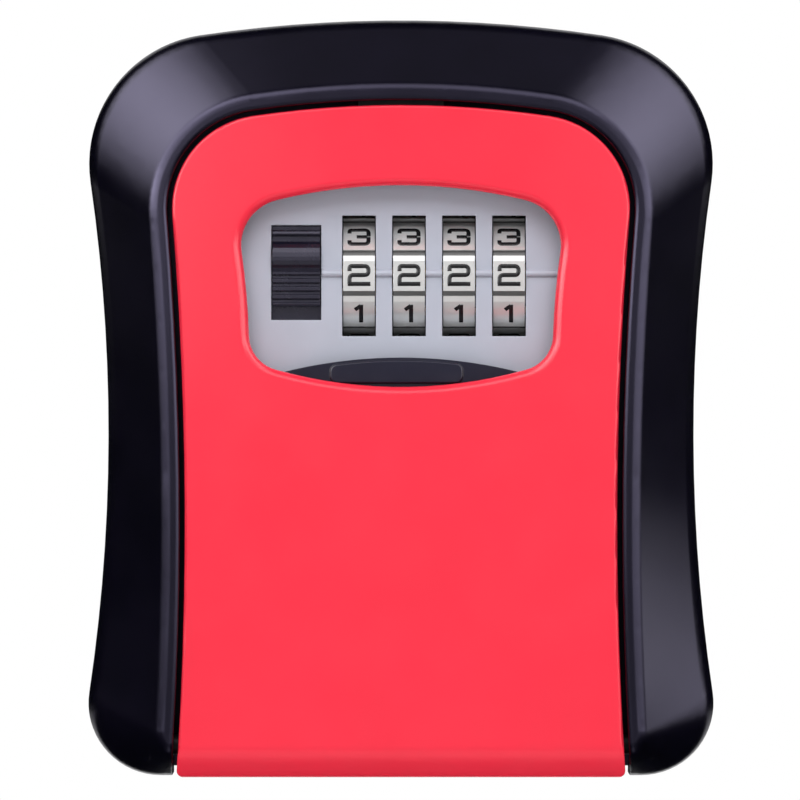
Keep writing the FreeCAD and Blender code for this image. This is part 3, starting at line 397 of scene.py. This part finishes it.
def rounded_line(points, closed):
    """The line through the points with its corners rounded, in steps short enough to follow a crown."""
    count = len(points)
    line = []
    for i, corner in enumerate(points):
        if not closed and i in (0, count - 1):
            line.append(corner)
            continue
        before, after = points[i - 1] - corner, points[(i + 1) % count] - corner
        reach = min(CORNER, before.length * CORNER_SHARE, after.length * CORNER_SHARE)
        start, end = corner + before.normalized() * reach, corner + after.normalized() * reach
        for step in range(CORNER_STEPS + 1):
            t = step / CORNER_STEPS
            line.append(start * (1 - t) ** 2 + corner * 2 * t * (1 - t) + end * t**2)
    ends = line[1:] + line[:1] if closed else line[1:]
    dense = []
    for point, following in zip(line, ends):
        pieces = max(1, math.ceil((following - point).length / LONGEST_STEP))
        dense += [point.lerp(following, i / pieces) for i in range(pieces)]
    return dense if closed else dense + [line[-1]]


def stroke_rings(line, closed):
    """Cross-sections of a bead along a line, as (across, up, height) triples."""
    rings = []
    last = len(line) - 1
    for i, point in enumerate(line):
        back = line[i - 1] if closed or i else point
        ahead = line[(i + 1) % len(line)] if closed or i < last else point
        along = (ahead - back).normalized()
        side = Vector((-along.y, along.x))
        rings.append([
            (point.x + side.x * STROKE * width, point.y + side.y * STROKE * width, height)
            for width, height in BEAD
        ])
    return rings


def on_facet(middle_x, facet, across, up, height):
    """A place over one facet of a wheel, in the rest pose."""
    angle = math.pi + FACET_STEP * facet - FACET_TURN
    along = DIGIT_MIDDLE - up
    out = CROWN_OUT - (along - CROWN_MIDDLE) ** 2 / (2 * CROWN_RADIUS) + height
    return Vector((
        middle_x + across,
        WHEEL_Y + out * math.cos(angle) - along * math.sin(angle),
        WHEEL_Z + out * math.sin(angle) + along * math.cos(angle),
    ))


def wheel_digits(index):
    """The ten painted digits of one wheel."""
    low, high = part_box(f"number_wheel_{index}")
    middle_x = (low[0] + high[0]) / 2
    shape = bmesh.new()
    for facet in range(DIGITS):
        for points, closed in STROKES[(FRONT_DIGIT - facet) % DIGITS]:
            corners = [Vector((x * DIGIT_HALF.x, y * DIGIT_HALF.y)) for x, y in points]
            rings = [
                [shape.verts.new(on_facet(middle_x, facet, *spot)) for spot in ring]
                for ring in stroke_rings(rounded_line(corners, closed), closed)
            ]
            skin(shape, rings, closed)
    piece(f"wheel_digits_{index}", shape, f"wheel_{index}", "digit_ink")


for index in range(1, WHEELS + 1):
    wheel_digits(index)


# ---------------------------------------------------------------- coil springs
WIRE = 0.2 * MM
WIRE_SIDES = 8
TURN_STEPS = 20


def spring(node, along, turns, fixed_high):
    """A coil in the place of its plain solid."""
    low, high = (Vector(corner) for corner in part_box(node))
    middle = (low + high) / 2
    across, up = [axis for axis in range(3) if axis != along]
    length = high[along] - low[along]
    radius = (high[up] - low[up]) / 2 - WIRE
    shape = bmesh.new()
    rings = []
    steps = turns * TURN_STEPS
    for step in range(steps + 1):
        turn = 2 * math.pi * step / TURN_STEPS
        ring = []
        for side in range(WIRE_SIDES):
            slant = 2 * math.pi * side / WIRE_SIDES
            reach = radius + WIRE * math.cos(slant)
            spot = middle.copy()
            spot[across] += reach * math.cos(turn)
            spot[up] += reach * math.sin(turn)
            spot[along] = low[along] + WIRE + (length - 2 * WIRE) * step / steps + WIRE * math.sin(slant)
            ring.append(shape.verts.new(spot))
        rings.append(ring)
    skin(shape, rings)
    made = piece(node + "_coil", shape, "door", "spring_steel")
    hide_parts(node)
    axis, anchor = Vector((0, 0, 0)), middle.copy()
    axis[along] = 1
    anchor[along] = high[along] if fixed_high else low[along]
    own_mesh(made)


X_AXIS, Z_AXIS = 0, 2
spring("latch_spring_left", Z_AXIS, 6, False)
spring("latch_spring_right", Z_AXIS, 6, False)
spring("reset_spring", X_AXIS, 3, True)


# ---------------------------------------------------------------- studio
WHITE = (1, 1, 1)
NIGHT = (0.6, 0.65, 1.0)
CAMERA_SKY, MATT_SKY, GLOSS_SKY = 1.0, 0.40, 0.01


def backdrop():
    """White for the camera, even light for matt surfaces and near darkness in reflections."""
    world = bpy.data.worlds.new("studio")
    bpy.context.scene.world = world
    world.use_nodes = True
    tree = world.node_tree
    tree.nodes.clear()
    path = tree.nodes.new("ShaderNodeLightPath")

    def sky(color, strength):
        made = tree.nodes.new("ShaderNodeBackground")
        made.inputs["Color"].default_value = (*color, 1)
        made.inputs["Strength"].default_value = strength
        return made.outputs["Background"]

    def chosen(ray, otherwise, then):
        made = tree.nodes.new("ShaderNodeMixShader")
        tree.links.new(path.outputs[ray], made.inputs["Fac"])
        tree.links.new(otherwise, made.inputs[1])
        tree.links.new(then, made.inputs[2])
        return made.outputs["Shader"]

    lit = chosen("Is Glossy Ray", sky(WHITE, MATT_SKY), sky(NIGHT, GLOSS_SKY))
    out = tree.nodes.new("ShaderNodeOutputWorld")
    tree.links.new(chosen("Is Camera Ray", lit, sky(WHITE, CAMERA_SKY)), out.inputs["Surface"])


def soft_panel(name, place, target, size, radiance):
    """A soft rectangular light of even brightness that faces a target point; the camera sees past it."""
    data = bpy.data.lights.new(name, "AREA")
    data.shape = "RECTANGLE"
    data.size, data.size_y = size
    data.energy = radiance * math.pi * size[0] * size[1]
    made = bpy.data.objects.new(name, data)
    made.location = place
    made.rotation_euler = (Vector(target) - Vector(place)).to_track_quat("-Z", "Y").to_euler()
    made.visible_camera = False
    bpy.context.scene.collection.objects.link(made)
    return made


# Panels only show as reflections: place, target, width and height in metres, and radiance. Those
# beside the object, level with its front, show in its sloping rim. The ones in front of it show in
# the flat parts.
PANELS = {
    "upper_left": ((-0.2425, -0.17, 0.2325), (0, -0.17, 0.01), (0.42, 0.48), 1.35),
    "left": ((-0.40, -1.04, 0.095), (0, -1.04, 0.095), (1.82, 0.20), 6.0),
    "upper_right": ((0.25, -0.17, 0.2125), (0, -0.17, 0.026), (0.42, 0.50), 1.15),
    "right": ((0.40, -1.04, 0.06), (0, -1.04, 0.06), (1.82, 0.26), 4.2),
    "front_left": ((-0.319, -0.30, 0.226), (-0.319, 0, 0.226), (0.574, 0.438), 4.8),
    "front_right": ((0.315, -0.30, 0.224), (0.315, 0, 0.224), (0.57, 0.452), 1.7),
    "front": ((0, -2.2, 0), (0, 0, 0), (1.3, 1.3), 0.38),
    "front_above": ((0, -1.5, 0.40), (0, 0, 0), (0.8, 0.30), 0.15),
    "above": ((0, -0.465, 0.35), (0, -0.465, 0), (0.6, 0.60), 2.1),
    "overhead": ((0, -0.025, 0.5), (0, -0.025, 0), (0.6, 0.25), 0.22),
    "below": ((0, -0.455, -0.29), (0, -0.455, 0), (0.5, 0.59), 0.7),
    "lower_right": ((0.12, -0.035, -0.0375), (0, -0.035, -0.0375), (0.04, 0.04), 2.3),
    "rear": ((0, 1.3, 0.7), (0, 0, 0), (1.6, 0.9), 0.7),
}
# Each panel is a stack of sheets of shrinking size, so that its reflection fades out at the edge.
FADE = 0.11
SHEETS = 3
SHEET_GAP = 2 * MM
# A grid on the two upper panels keeps them out of the top face when it is seen from behind.
GRIDDED = ("upper_left", "upper_right")
GRID_SPREAD = math.radians(80)
# The fills light the matt colours only.
FILLS = {
    "fill": ((0, -1.2, 1.2), (0, 0, 0), (1.6, 1.2), 4.4),
    "back_fill": ((0, 1.3, 1.0), (0, 0, 0), (1.6, 1.2), 1.6),
}


def studio_lights():
    for name, (place, target, size, radiance) in PANELS.items():
        backwards = (Vector(place) - Vector(target)).normalized() * SHEET_GAP
        for i in range(SHEETS):
            sheet_place = Vector(place) - i * backwards
            sheet_size = [length - i * min(FADE, length / SHEETS) for length in size]
            sheet = soft_panel(f"{name}_{i + 1}", sheet_place, target, sheet_size, radiance / SHEETS)
            sheet.visible_diffuse = False
            if name in GRIDDED:
                sheet.data.spread = GRID_SPREAD
    for name, (place, target, size, radiance) in FILLS.items():
        soft_panel(name, place, target, size, radiance).visible_glossy = False


# The floor is two half discs, because only the rear one may show in the object's gloss.
FLOOR_RADIUS = 3.2
FLOOR_HEIGHT = -0.30
FLOOR_SPLIT = 0.5
FLOOR_STEPS = 48
FLOOR_PAINT = Finish("floor_paint", (0.86, 0.86, 0.86), 0.6, specular=0.3)
FLOOR_PAINT.mottle((0.83, 0.83, 0.83), 3).uneven(0.05, 6).done()


def half_floor(name, side):
    """A half disc in front of (-1) or behind (1) the line where the floor is split."""
    shape = bmesh.new()
    rim = []
    for i in range(FLOOR_STEPS + 1):
        angle = math.pi * i / FLOOR_STEPS
        x, y = FLOOR_RADIUS * math.cos(angle), FLOOR_SPLIT + side * FLOOR_RADIUS * math.sin(angle)
        rim.append(shape.verts.new((x, y, FLOOR_HEIGHT)))
    shape.faces.new(rim if side > 0 else rim[::-1])
    mesh = bpy.data.meshes.new(name)
    shape.to_mesh(mesh)
    shape.free()
    mesh.materials.append(FLOOR_PAINT.material)
    made = bpy.data.objects.new(name, mesh)
    bpy.context.scene.collection.objects.link(made)
    return made


backdrop()
studio_lights()
half_floor("floor_rear", 1)
half_floor("floor_front", -1).visible_glossy = False

# The camera looks straight at the front, from far enough away that the sides stay hidden.
CAMERA_PLACE = (-0.00015, -3.035, -0.00024)
SENSOR = 36
FOCUS_DISTANCE = 3.0
VIEW_WIDTH = 0.1214


def look_through_camera():
    data = bpy.data.cameras.new("camera")
    data.sensor_width = SENSOR
    data.lens = SENSOR * FOCUS_DISTANCE / VIEW_WIDTH
    data.clip_end = 50
    camera = bpy.data.objects.new("camera", data)
    camera.location = CAMERA_PLACE
    camera.rotation_euler = (math.pi / 2, 0, 0)
    bpy.context.scene.collection.objects.link(camera)
    bpy.context.scene.camera = camera
    bpy.context.scene.view_settings.view_transform = "Standard"


look_through_camera()
